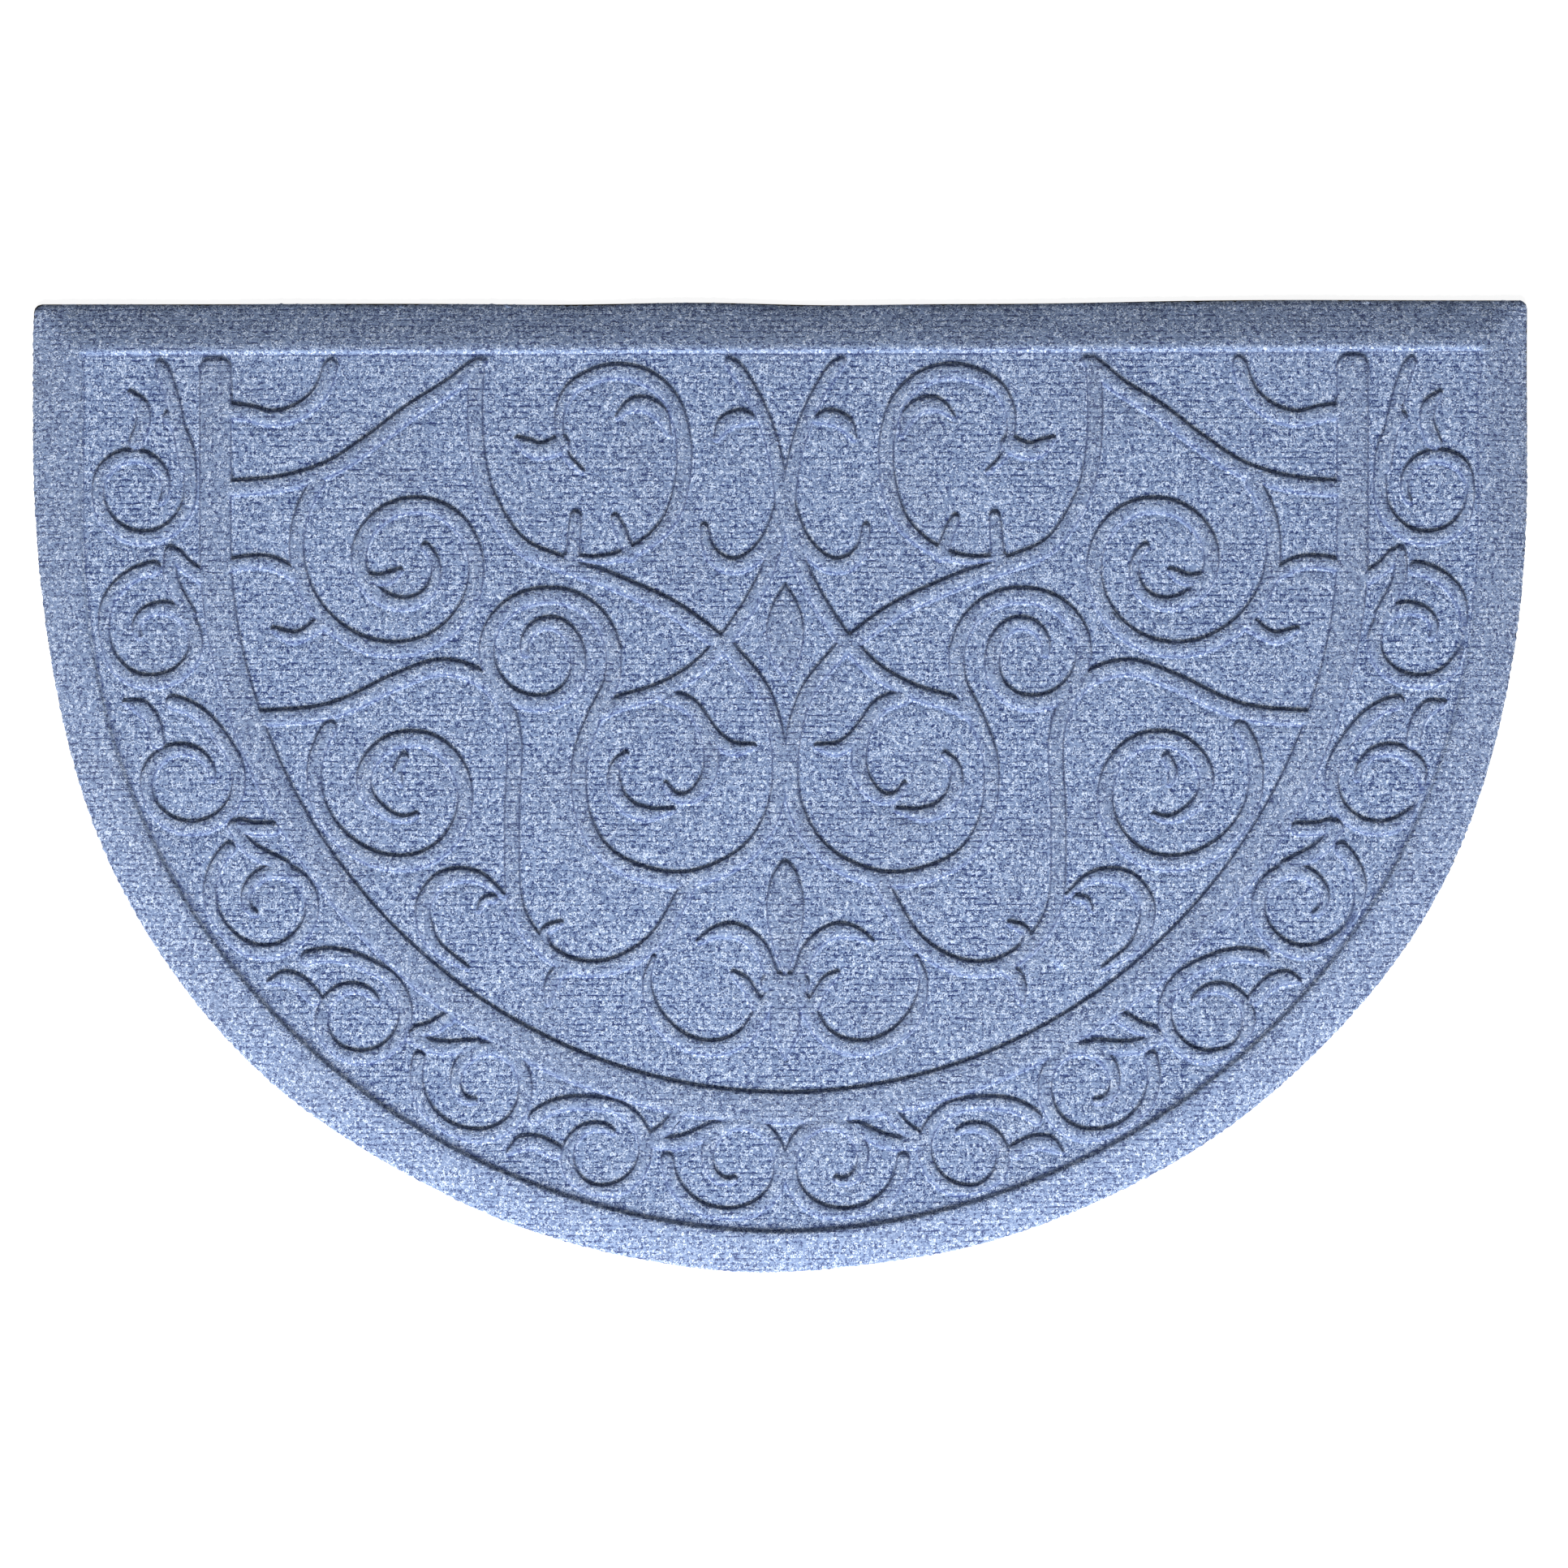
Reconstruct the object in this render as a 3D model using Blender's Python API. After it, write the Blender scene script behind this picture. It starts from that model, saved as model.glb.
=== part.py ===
"""Half-round entrance mat: a heather-blue needle-punched carpet face with pressed scrollwork,
bonded to a black moulded rubber backing whose edge rises into a water-holding rim.

The mat lies flat on Z = 0. +X runs along the straight edge, +Y points to the straight edge
and the origin is under the middle of the mat. Design sizes are in millimetres.
The ornament is laid out on the left half by two measures: `out`, the distance from the
ornament's centre line, and `down`, the distance from the straight edge. Angles are seen from
above: 0 points to the centre line, 90 to the straight edge, and they grow counter-clockwise.
"""

from collections import namedtuple
import math

import bmesh
import bpy
from mathutils import Vector
from mathutils.geometry import delaunay_2d_cdt
import numpy as np

MM = 0.001

# Overall size
MAT_WIDTH = 914.0
MAT_DEPTH = 593.0
CORNER_RADIUS = 5.0
CORNER_CUT = 0.3

# Heights above the floor
RUBBER_LIP = 1.5
RUBBER_FLOOR = 5.5
RUBBER_CREST = 7.6
GAP = 0.3
CLOTH_THICKNESS = 2.6
RIM_RISE = RUBBER_CREST - RUBBER_LIP
RIM_BASE = RUBBER_LIP + GAP + CLOTH_THICKNESS
BASIN_TOP = RUBBER_FLOOR + GAP + CLOTH_THICKNESS
BAND_RISE = 2.1

# Rim and relief sizes. Side and foot say how far in from the cut edge a line lies there
RIM_TOP = 30.8
RIM_SIDE = 29.5
RIM_FOOT = 25.0
STRIP_SIDE = 109.5
STRIP_FOOT = 100.0
EDGE_DROP = 0.6
CREST_DROP = 0.1
MIDDLE_RISE = 0.62 * RIM_RISE
FLANK = 2.4
MOAT = 1.0
MOAT_SHARE = 1.16
STRIP_WIDTH = 19.5
ORNAMENT_SHIFT = 2.4
STRIP_SHIFT = 1.7
TAPER_SHARE = 0.3
LEAF_TIP = 0.4
THINNEST = 0.1

# A half-round line: straight sides, then an oval that closes at the full depth. Uneven is the
# share of the cut edge's unevenness that it follows
HalfRound = namedtuple("HalfRound", "top half_width depth straight bulge roundness uneven")
OUTLINE = HalfRound(0.0, MAT_WIDTH / 2, MAT_DEPTH, 60.0, 2.7, 1.9, 1.0)
RIM_LINE = HalfRound(RIM_TOP, MAT_WIDTH / 2 - RIM_SIDE, MAT_DEPTH - RIM_FOOT, 120.0, 2.2, 1.9, 0.0)
STRIP_LINE = HalfRound(RIM_TOP, MAT_WIDTH / 2 - STRIP_SIDE, MAT_DEPTH - STRIP_FOOT, 150.0, 1.9, 2.0, 0.0)

# Sampling of the lines
TOP_STEPS = 14
SIDE_STEPS = 5
OVAL_STEPS = 30
LEAF_STEPS = 9
FINE_STEP = 1.5
SHORTEST_STEP = 2.0
LONGEST_STEP = 22.0
LARGEST_TURN = math.radians(24.0)
SNAP = 0.3
COVERED = 0.999
SHARP_ANGLE = math.radians(50.0)

# Slow unevenness of the cut edge: height in mm, waves round the mat, phase
Wave = namedtuple("Wave", "height waves phase")
EDGE_WAVES = (
    Wave(0.9, 3, 0.4),
    Wave(0.6, 7, 2.1),
    Wave(0.4, 13, 4.0),
)

# How much further up the right-hand end of the straight edge lies than the left-hand end
EDGE_SLOPE = 3.0

# The rim from the cut edge (share 0) to its inner line (share 1). A step without a rubber
# height shapes the visible face alone
RimStep = namedtuple("RimStep", "share cloth rubber")
RIM_STEPS = (
    RimStep(0.0, RIM_BASE - EDGE_DROP, RUBBER_LIP),
    RimStep(0.05, RIM_BASE, None),
    RimStep(0.5, RIM_BASE + MIDDLE_RISE, RUBBER_LIP + MIDDLE_RISE),
    RimStep(0.84, RIM_BASE + RIM_RISE - CREST_DROP, RUBBER_CREST),
    RimStep(0.95, RIM_BASE + RIM_RISE, None),
    RimStep(1.05, BASIN_TOP, RUBBER_FLOOR),
)

# Raised bands. A width is full width at the start, in the middle and at the end
Vine = namedtuple("Vine", "name width points")
Scroll = namedtuple("Scroll", "name width out down start turn step radii")
Leaf = namedtuple("Leaf", "name width down_top down_foot belly")

VINES = (
    Vine("corner loop", (9.5, 9.5, 9.5),
         ((343, 66.5), (327, 68.5), (314, 71.5), (300, 68.5), (287, 59.5), (280, 47), (277, 34))),
    Vine("shoulder sweep", (9.5, 9.5, 9.5),
         ((343, 114.5), (309, 111.5), (279, 102.5), (254, 86.5), (229, 67.5), (203, 51), (184, 34))),
    Vine("side arch", (8, 8, 7),
         ((340, 161.5), (324, 159), (311, 161), (297, 169))),
    Vine("side barb", (9, 7, 3),
         ((283, 196.5), (299, 205.5), (313, 200.5))),
    Vine("shoulder eye", (8, 7, 3),
         ((255, 170), (245, 170), (235, 164.5))),
    Vine("great sweep", (9.5, 9.5, 9.5),
         ((326, 255), (289, 252.5), (266, 246), (237, 232), (208, 223.5), (180, 235), (166, 264),
          (167, 317), (164, 371), (141, 401), (111, 407.5), (80, 391), (57.5, 354))),
    Vine("sweep tongue", (7, 5, 3),
         ((147, 394), (147, 385), (137, 380))),
    Vine("sweep leaf", (9, 8, 3),
         ((133, 406), (142, 414), (145, 429))),
    Vine("low hook", (3, 9.5, 3),
         ((172.5, 363), (184.5, 353.5), (197.5, 350.5), (212, 355), (221, 368), (220, 382),
          (213, 395), (194.5, 407.5))),
    Vine("low hook tongue", (5, 4, 2.5),
         ((178, 365), (184, 366), (187.5, 372.5))),
    Vine("low scroll eye", (6, 5.5, 3),
         ((233, 279), (237, 287), (235, 295))),
    Vine("heart side", (9.5, 9.5, 9),
         ((104.5, 213), (106.5, 233), (118, 257), (126, 284), (122, 319), (103, 343), (64.5, 353.5),
          (28, 340.5), (8, 314), (3.5, 279.5), (13, 240), (38.5, 207.5))),
    Vine("crossing band", (9.5, 9.5, 9.5),
         ((188, 34), (189.5, 63), (188, 93), (181, 120.5), (163, 148), (138, 160), (114, 168),
          (92, 177), (71.5, 186.5), (52.5, 199), (36, 212.5))),
    Vine("heart top", (9, 9, 9),
         ((37, 207.5), (52.5, 223.5), (67.5, 233.5), (83.5, 240.5), (101, 245.5), (114, 252))),
    Vine("heart curl", (9, 9.5, 3),
         ((71.5, 242), (58.5, 247), (49.5, 259.5), (45, 277), (48, 293), (57.5, 303), (67.5, 302.5),
          (73, 295))),
    Vine("heart barb", (9, 8, 3),
         ((50.5, 257), (42, 267), (32, 273.5), (19, 272))),
    Vine("heart comma", (4, 9, 3),
         ((97.5, 277), (104, 284.5), (104, 298), (97, 308.5), (84.5, 313.5), (68.5, 311))),
    Vine("high arch", (3, 9.5, 3),
         ((124, 104), (133.5, 94.5), (138, 78.5), (136.5, 63.5), (127, 50.5), (104.5, 42.5),
          (83.5, 47.5), (68.5, 62.5), (62, 86), (63, 110.5), (69.5, 131.5), (81.5, 145.5),
          (97.5, 154.5), (115.5, 158), (134, 155.5))),
    Vine("high arch barb", (11, 10, 3),
         ((137, 87.5), (151, 91.5), (164, 84))),
    Vine("high arch crescent", (3, 9, 3),
         ((102.5, 70.5), (95, 64), (85, 63), (75.5, 69.5), (71, 81.5))),
    Vine("left tongue", (9, 8, 7),
         ((130, 158), (129, 143), (128, 131.5))),
    Vine("right tongue", (8, 7, 5),
         ((95, 155), (100, 142), (104, 132.5))),
    Vine("ogee side", (8.5, 8.5, 9),
         ((35, 34), (25, 48.5), (16, 65), (9, 83.5), (4, 106), (2.5, 133), (10, 162), (21.5, 185),
          (37, 208.5))),
    Vine("ogee brow", (4, 9.5, 3),
         ((42, 83.5), (37, 75), (28, 71), (17, 72.5))),
    Vine("ogee hook", (5, 9.5, 9),
         ((49.5, 138), (47, 151), (39.5, 159.5), (29, 161.5), (18, 155.5), (8.5, 143), (2.5, 126))),
    Vine("lily petal", (3, 9, 8),
         ((53, 391.5), (43.5, 386), (32, 384.5), (22, 389), (14, 397.5), (7.5, 413.5))),
    Vine("lily curl", (3, 9.5, 9),
         ((80.5, 401), (84.5, 416), (80.5, 433.5), (69.5, 447.5), (53.5, 455.5), (37.5, 455.5),
          (24, 448.5), (15.5, 435.5), (5, 418.5))),
    Vine("lily barb", (3, 7, 9),
         ((32, 410.5), (24, 417.5), (17, 430))),
    Vine("lily tie", (12, 13, 12),
         ((9, 417), (0, 417))),
    Vine("border stem", (8, 8.5, 8.5),
         ((383, 34), (375.5, 56), (370.5, 78), (366, 101))),
)

SCROLLS = (
    Scroll("shoulder scroll", (9, 9.5, 5), 234, 163, 135, 1, 90, (73.5, 54.5, 46.5, 43.5, 31, 22.5, 22, 19)),
    Scroll("low scroll", (9, 9.5, 3), 238, 301, 135, 1, 90, (57, 42.5, 43.5, 39.5, 24.5, 13.5, 18)),
    Scroll("small scroll", (9.5, 9.5, 5), 145.5, 215, 0, 1, 90, (40.5, 35.5, 37, 30, 18.5, 18.5, 13.5)),
)

LEAVES = (
    Leaf("ogee leaf", 23, 173, 232, 1.0),
    Leaf("lily centre", 23, 342, 414, 0.75),
    Leaf("lily foot", 19, 421, 463, 0.75),
)

# The running scrolls of the border: two unlike units in turn, each leaned along the border
Unit = namedtuple("Unit", "out down lean size")
STEM_UNITS = (
    Unit(393.5, 118, -105, 1.03),
    Unit(363, 295, -72, 1.06),
    Unit(258.5, 436.5, -41, 1.0),
    Unit(110.5, 519, -20, 0.97),
)
CURL_UNITS = (
    Unit(388.5, 205.5, -90, 1.0),
    Unit(318, 371, -55, 1.0),
    Unit(186.5, 483, -25, 1.0),
    Unit(30, 530, -4, 1.0),
)
STEM_SCROLL = Scroll("stem scroll", (8, 8.5, 4), 0, 0, 175, -1, 45,
                     (48.5, 32, 28, 26.5, 25.5, 25.5, 26.5, 24.5, 20.5, 16, 12.5))
STEM_VINES = (
    Vine("stem leaf", (3, 9, 9), ((-56.5, -22), (-50.5, -13.5), (-41, -10), (-29, -11))),
)
CURL_SCROLL = Scroll("curl scroll", (8, 8.5, 4), 0, 0, 176, 1, 90, (42.5, 28.5, 27, 28.5, 17, 6.5))
CURL_VINES = (
    Vine("curl link", (8, 8.5, 8), ((-52, 13), (-40, 12.5), (-29, 16), (-14, 24.5))),
    Vine("curl leaf", (8, 8, 8), ((-50, 17), (-44, 22), (-37, 32))),
)

# Looks of the two materials: colour, roughness
Finish = namedtuple("Finish", "name colour roughness")
CLOTH_FINISH = Finish("needle_punched_cloth", (0.26, 0.34, 0.53), 0.95)
RUBBER_FINISH = Finish("black_rubber", (0.022, 0.020, 0.019), 0.7)


def edge_wave(angle):
    """How far the cut edge strays outward, in mm, at an angle seen from the mat's middle."""
    return sum(wave.height * math.sin(wave.waves * angle + wave.phase) for wave in EDGE_WAVES)


def blend_lines(first, second, share):
    """The half-round line between two others, or past the second where share is over 1."""
    mixed = HalfRound(*(a + (b - a) * share for a, b in zip(first, second)))
    return mixed._replace(uneven=max(0.0, mixed.uneven))


def oval_side(line):
    """One side of a half-round line as (half width, down) from its top corner to its foot."""
    corner = CORNER_RADIUS if line.top == OUTLINE.top else 0.0
    points = [(line.half_width - corner, line.top)]
    if corner:
        points.append((line.half_width - CORNER_CUT * corner, line.top + CORNER_CUT * corner))
        points.append((line.half_width, line.top + corner))
    for step in range(1, SIDE_STEPS + 1):
        points.append((line.half_width, line.top + corner
                       + (line.straight - line.top - corner) * step / SIDE_STEPS))
    for step in range(1, OVAL_STEPS + 1):
        fall = math.sin(math.pi / 2 * step / OVAL_STEPS)
        across = max(0.0, 1.0 - fall ** line.bulge) ** (1.0 / line.roundness)
        points.append((line.half_width * across, line.straight + (line.depth - line.straight) * fall))
    return points


def closed_line(line):
    """A half-round line as a closed loop of x, y points, with the cut edge's unevenness."""
    side = oval_side(line)
    top_half = side[0][0]
    top = [(-top_half + 2 * top_half * step / TOP_STEPS, line.top) for step in range(1, TOP_STEPS)]
    left = [(-half, down) for half, down in reversed(side[:-1])]
    loop = []
    for across, down in top + side + left:
        y = MAT_DEPTH / 2 - down
        angle = math.atan2(y, across)
        stray = edge_wave(angle) * line.uneven
        x = across + stray * math.cos(angle)
        y = y + stray * math.sin(angle) + EDGE_SLOPE * across / MAT_WIDTH
        loop.append((x, y))
    return loop


def smooth_points(points):
    """A Catmull-Rom curve through the points, sampled at the fine step."""
    knots = [np.array(point, float) for point in points]
    knots = [2 * knots[0] - knots[1]] + knots + [2 * knots[-1] - knots[-2]]
    curve = []
    for before, start, end, after in zip(knots, knots[1:], knots[2:], knots[3:]):
        steps = max(2, int(np.linalg.norm(end - start) / FINE_STEP))
        for step in range(steps):
            t = step / steps
            curve.append(0.5 * (2 * start + (end - before) * t
                                + (2 * before - 5 * start + 4 * end - after) * t * t
                                + (3 * start - before - 3 * end + after) * t ** 3))
    curve.append(knots[-2])
    return np.array(curve)


def scroll_points(scroll):
    """A scroll's centre line: its radius passes through one value at every step of its turn."""
    path = smooth_points([(scroll.step * index, radius) for index, radius in enumerate(scroll.radii)])
    angles = np.radians(scroll.start + scroll.turn * path[:, 0])
    return np.stack([path[:, 1] * np.cos(angles), path[:, 1] * np.sin(angles)], axis=1)


def to_mat(points):
    """Points as (out, down) on the left half, moved to the mat's own x, y."""
    return np.stack([-points[:, 0], MAT_DEPTH / 2 - points[:, 1]], axis=1)


def place_unit(points, unit):
    """Points of a border unit, turned, sized and put in their place on the left half."""
    lean = math.radians(unit.lean)
    turned = np.stack([points[:, 0] * math.cos(lean) - points[:, 1] * math.sin(lean),
                       points[:, 0] * math.sin(lean) + points[:, 1] * math.cos(lean)], axis=1)
    return turned * unit.size + np.array([-unit.out, MAT_DEPTH / 2 - unit.down])


def thin_out(points):
    """Keep only the points that the curve needs: few on straight runs, more in tight turns."""
    kept = [0]
    for index in range(1, len(points) - 1):
        last = points[kept[-1]]
        run = np.linalg.norm(points[index] - last)
        first_way = points[kept[-1] + 1] - last
        next_way = points[index + 1] - points[index]
        turn = abs(math.atan2(first_way[0] * next_way[1] - first_way[1] * next_way[0],
                              float(np.dot(first_way, next_way))))
        if run > SHORTEST_STEP and (turn > LARGEST_TURN or run > LONGEST_STEP):
            kept.append(index)
    kept.append(len(points) - 1)
    return points[kept]


def band(points, width):
    """A raised band as rows of x, y, half width along its centre line."""
    share = np.linspace(0.0, 1.0, len(points))
    start, middle, end = width
    widths = np.interp(share, [0.0, TAPER_SHARE, 1.0 - TAPER_SHARE, 1.0], [start, middle, middle, end])
    return np.column_stack([points, widths / 2])


def leaf_band(leaf):
    """An almond leaf on the centre line, widest nearer its top where belly is under 1."""
    share = np.linspace(0.0, 1.0, LEAF_STEPS)
    down = leaf.down_top + (leaf.down_foot - leaf.down_top) * share
    half = leaf.width / 2 * np.sin(np.pi * share ** leaf.belly)
    x = np.zeros_like(share)
    return np.column_stack([x, MAT_DEPTH / 2 - down, np.maximum(half, LEAF_TIP)])


def strip_band():
    """The raised strip that frames the field, from one end of the rim's top to the other."""
    side = oval_side(STRIP_LINE)
    points = [(half, MAT_DEPTH / 2 - down) for half, down in side]
    points += [(-half, MAT_DEPTH / 2 - down) for half, down in reversed(side[:-1])]
    return band(np.array(points), (STRIP_WIDTH,) * 3)


def left_bands():
    """All raised bands of the left half."""
    bands = []
    for vine in VINES:
        bands.append(band(thin_out(to_mat(smooth_points(vine.points))), vine.width))
    for scroll in SCROLLS:
        centre = np.array([-scroll.out, MAT_DEPTH / 2 - scroll.down])
        bands.append(band(thin_out(scroll_points(scroll) + centre), scroll.width))
    for units, scroll, vines in ((STEM_UNITS, STEM_SCROLL, STEM_VINES),
                                 (CURL_UNITS, CURL_SCROLL, CURL_VINES)):
        for unit in units:
            bands.append(band(thin_out(place_unit(scroll_points(scroll), unit)), scroll.width))
            for vine in vines:
                bands.append(band(thin_out(place_unit(smooth_points(vine.points), unit)), vine.width))
    return bands


def all_bands():
    """Every raised band: the left half, its mirror image, the leaves and the strip."""
    left = left_bands()
    right = [rows * np.array([-1.0, 1.0, 1.0]) for rows in left]
    bands = left + right + [leaf_band(leaf) for leaf in LEAVES]
    for rows in bands:
        rows[:, 0] += ORNAMENT_SHIFT
    bands.append(strip_band() + np.array([STRIP_SHIFT, 0.0, 0.0]))
    return bands


def segment_distance(points, starts, ends):
    """Distances of points to segments, and the share along each segment."""
    way = ends - starts
    length = np.maximum((way ** 2).sum(axis=1), 1e-12)
    offset = points[:, None, :] - starts[None, :, :]
    share = np.clip((offset * way).sum(axis=2) / length, 0.0, 1.0)
    away = offset - share[..., None] * way
    return np.sqrt((away ** 2).sum(axis=2)), share


def band_lift(points, rows):
    """How much of a band's full rise each point has, from 0 to 1, with straight flanks."""
    distance, share = segment_distance(points, rows[:-1, :2], rows[1:, :2])
    half = rows[:-1, 2] + (rows[1:, 2] - rows[:-1, 2]) * share
    edge = (half - distance).max(axis=1)
    return np.clip(edge / FLANK + 0.5, 0.0, 1.0)


def rim_lift(points, rim_foot):
    """A band's share of rise near the rim: nothing in the narrow moat along its foot."""
    loop = np.array(rim_foot)
    distance, _ = segment_distance(points, loop, np.roll(loop, -1, axis=0))
    return np.clip((distance.min(axis=1) - MOAT) / FLANK, 0.0, 1.0)


def inside_loop(points, loop):
    """Which points lie inside a closed loop."""
    inside = np.zeros(len(points), bool)
    for (x0, y0), (x1, y1) in zip(loop, loop[1:] + loop[:1]):
        if y0 == y1:
            continue
        crosses = (y0 > points[:, 1]) != (y1 > points[:, 1])
        at_x = x0 + (points[:, 1] - y0) * (x1 - x0) / (y1 - y0)
        inside ^= crosses & (points[:, 0] < at_x)
    return inside


def band_outline(rows, grow):
    """A closed line round a band at its half width plus grow, with a blunt tip at both ends."""
    half = rows[:, 2] + grow
    if half.max() <= THINNEST:
        return None
    half = np.maximum(half, THINNEST)
    ways = np.gradient(rows[:, :2], axis=0)
    ways /= np.linalg.norm(ways, axis=1)[:, None]
    normals = np.stack([-ways[:, 1], ways[:, 0]], axis=1)
    left = rows[:, :2] + normals * half[:, None]
    right = rows[:, :2] - normals * half[:, None]
    tip = rows[-1, :2] + ways[-1] * half[-1]
    tail = rows[0, :2] - ways[0] * half[0]
    return np.vstack([left, tip[None], right[::-1], tail[None]])


def tuck_in(outline, moat):
    """The outline with all that runs past the moat at the straight edge set back onto its line."""
    top = moat[:TOP_STEPS - 1]
    limit = np.interp(outline[:, 0], top[:, 0], top[:, 1])
    return np.column_stack([outline[:, 0], np.minimum(outline[:, 1], limit)])


def relief_lines(bands, rim_foot):
    """The foot and crest lines of all bands as (loop, which points show, which lie inside the
    rim), and the line where the bands reach their full rise beside the rim."""
    chains = []
    moat = np.array(closed_line(blend_lines(OUTLINE, RIM_LINE, MOAT_SHARE)))
    for index, rows in enumerate(bands):
        others = [other for number, other in enumerate(bands) if number != index]
        for grow in (-FLANK / 2, FLANK / 2):
            outline = band_outline(rows, grow)
            if outline is None:
                continue
            outline = tuck_in(outline, moat)
            near = [other for other in others if boxes_meet(outline, other)]
            covered = np.zeros(len(outline))
            for other in near:
                covered = np.maximum(covered, band_lift(outline, other))
            chains.append((outline, covered < COVERED, inside_loop(outline, rim_foot)))
    everywhere = np.ones(len(moat), bool)
    chains.append((moat, everywhere, everywhere))
    return chains


def boxes_meet(outline, rows):
    """Whether a line's box comes near a band's box."""
    reach = rows[:, 2].max() + FLANK
    low = rows[:, :2].min(axis=0) - reach
    high = rows[:, :2].max(axis=0) + reach
    return bool((outline.min(axis=0) < high).all() and (outline.max(axis=0) > low).all())


def triangulate(loops, chains):
    """Triangles through all loops and chains: 2D points, faces and each point's loop number."""
    points = []
    edges = []
    owner = []
    for number, loop in enumerate(loops):
        first = len(points)
        points += [Vector(point) for point in loop]
        owner += [number] * len(loop)
        edges += [(first + i, first + (i + 1) % len(loop)) for i in range(len(loop))]
    for outline, shown, inside in chains:
        wanted = inside & (shown | np.roll(shown, 1) | np.roll(shown, -1))
        slots = {}
        for i in np.flatnonzero(wanted):
            slots[i] = len(points)
            points.append(Vector(outline[i]))
            owner.append(-1)
        count = len(outline)
        edges += [(slots[i], slots[(i + 1) % count]) for i in slots
                  if (i + 1) % count in slots and (shown[i] or shown[(i + 1) % count])]
    outer = [list(range(len(loops[0])))]
    found, _, faces, origins, _, _ = delaunay_2d_cdt(points, edges, outer, 1, SNAP, True)
    owners = [max([owner[i] for i in origin], default=-1) for origin in origins]
    return np.array([tuple(point) for point in found]), faces, owners


def mesh_sheet(bm, flat, faces, heights, upward):
    """Add a triangulated sheet to the mesh, facing up or down."""
    verts = [bm.verts.new((x * MM, y * MM, z * MM)) for (x, y), z in zip(flat, heights)]
    for face in faces:
        order = face if upward else list(reversed(face))
        bm.faces.new([verts[i] for i in order])
    return verts


def rim_loop(step):
    """The closed loop of one step of the rim."""
    return closed_line(blend_lines(OUTLINE, RIM_LINE, step.share))


def build_cloth(bands):
    """The carpet face: relief on top, and the rim's form underneath."""
    loops = [rim_loop(step) for step in RIM_STEPS]
    rim_foot = loops[-1]
    flat, faces, owners = triangulate(loops, relief_lines(bands, rim_foot))
    lift = np.zeros(len(flat))
    for rows in bands:
        lift = np.maximum(lift, band_lift(flat, rows))
    lift = np.minimum(lift, rim_lift(flat, rim_foot))
    heights = BASIN_TOP + BAND_RISE * lift
    for index, owner in enumerate(owners):
        if owner >= 0:
            heights[index] = RIM_STEPS[owner].cloth
    under, under_faces, under_heights = rubber_top(GAP)
    return closed_mesh("carpet_face", (flat, faces, heights), (under, under_faces, under_heights))


def rubber_top(rise):
    """The rubber's upper face, which rises under the rim, at a height above it."""
    steps = [step for step in RIM_STEPS if step.rubber is not None]
    flat, faces, owners = triangulate([rim_loop(step) for step in steps], [])
    return flat, faces, [steps[owner].rubber + rise for owner in owners]


def build_rubber():
    """The rubber backing: a flat underside below its upper face."""
    under, under_faces, _ = triangulate([rim_loop(RIM_STEPS[0])], [])
    return closed_mesh("rubber_backing", rubber_top(0.0), (under, under_faces, [0.0] * len(under)))


def closed_mesh(name, top, foot):
    """A closed body from an upper and a lower sheet that share their outer line."""
    bm = bmesh.new()
    top_verts = mesh_sheet(bm, *top, upward=True)
    foot_verts = mesh_sheet(bm, *foot, upward=False)
    rim = {(round(x, 4), round(y, 4)): vert for (x, y), vert in zip(foot[0], foot_verts)}
    partner = {}
    for (x, y), vert in zip(top[0], top_verts):
        below = rim.get((round(x, 4), round(y, 4)))
        if below is not None:
            partner[vert] = below
    for edge in [edge for edge in bm.edges if edge.is_boundary]:
        start, end = edge.verts
        if start in partner and end in partner:
            bm.faces.new((start, end, partner[end], partner[start]))
    bmesh.ops.recalc_face_normals(bm, faces=bm.faces)
    bmesh.ops.triangulate(bm, faces=bm.faces)
    mesh = bpy.data.meshes.new(name)
    bm.to_mesh(mesh)
    bm.free()
    return mesh


def make_material(finish):
    """A plain Principled material."""
    material = bpy.data.materials.new(finish.name)
    material.use_nodes = True
    shader = material.node_tree.nodes["Principled BSDF"]
    shader.inputs["Base Color"].default_value = (*finish.colour, 1.0)
    shader.inputs["Roughness"].default_value = finish.roughness
    shader.inputs["Metallic"].default_value = 0.0
    return material


def add_object(mesh, finish, collection):
    """Put a mesh into the scene as an object of its own material."""
    mesh.materials.append(make_material(finish))
    mesh.shade_smooth()
    mesh.set_sharp_from_angle(angle=SHARP_ANGLE)
    built = bpy.data.objects.new(mesh.name, mesh)
    collection.objects.link(built)
    return built


def main():
    """Clear the scene and build the mat."""
    for old in list(bpy.data.objects):
        bpy.data.objects.remove(old, do_unlink=True)
    collection = bpy.data.collections.new("half_round_mat")
    bpy.context.scene.collection.children.link(collection)
    add_object(build_rubber(), RUBBER_FINISH, collection)
    add_object(build_cloth(all_bands()), CLOTH_FINISH, collection)


main()
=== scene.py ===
"""Half-round entrance mat, dressed: a heather-blue needle-punched carpet face with pressed
scrollwork on a black moulded rubber backing, lying flat under soft studio light.

Design sizes are in millimetres, in the part's own frame. The ornament is laid out on the left
half by two measures: `out`, the distance from the ornament's centre line, and `down`, the
distance from the straight edge.
"""

from collections import namedtuple
import math

import bpy
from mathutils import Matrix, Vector
import numpy as np


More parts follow.
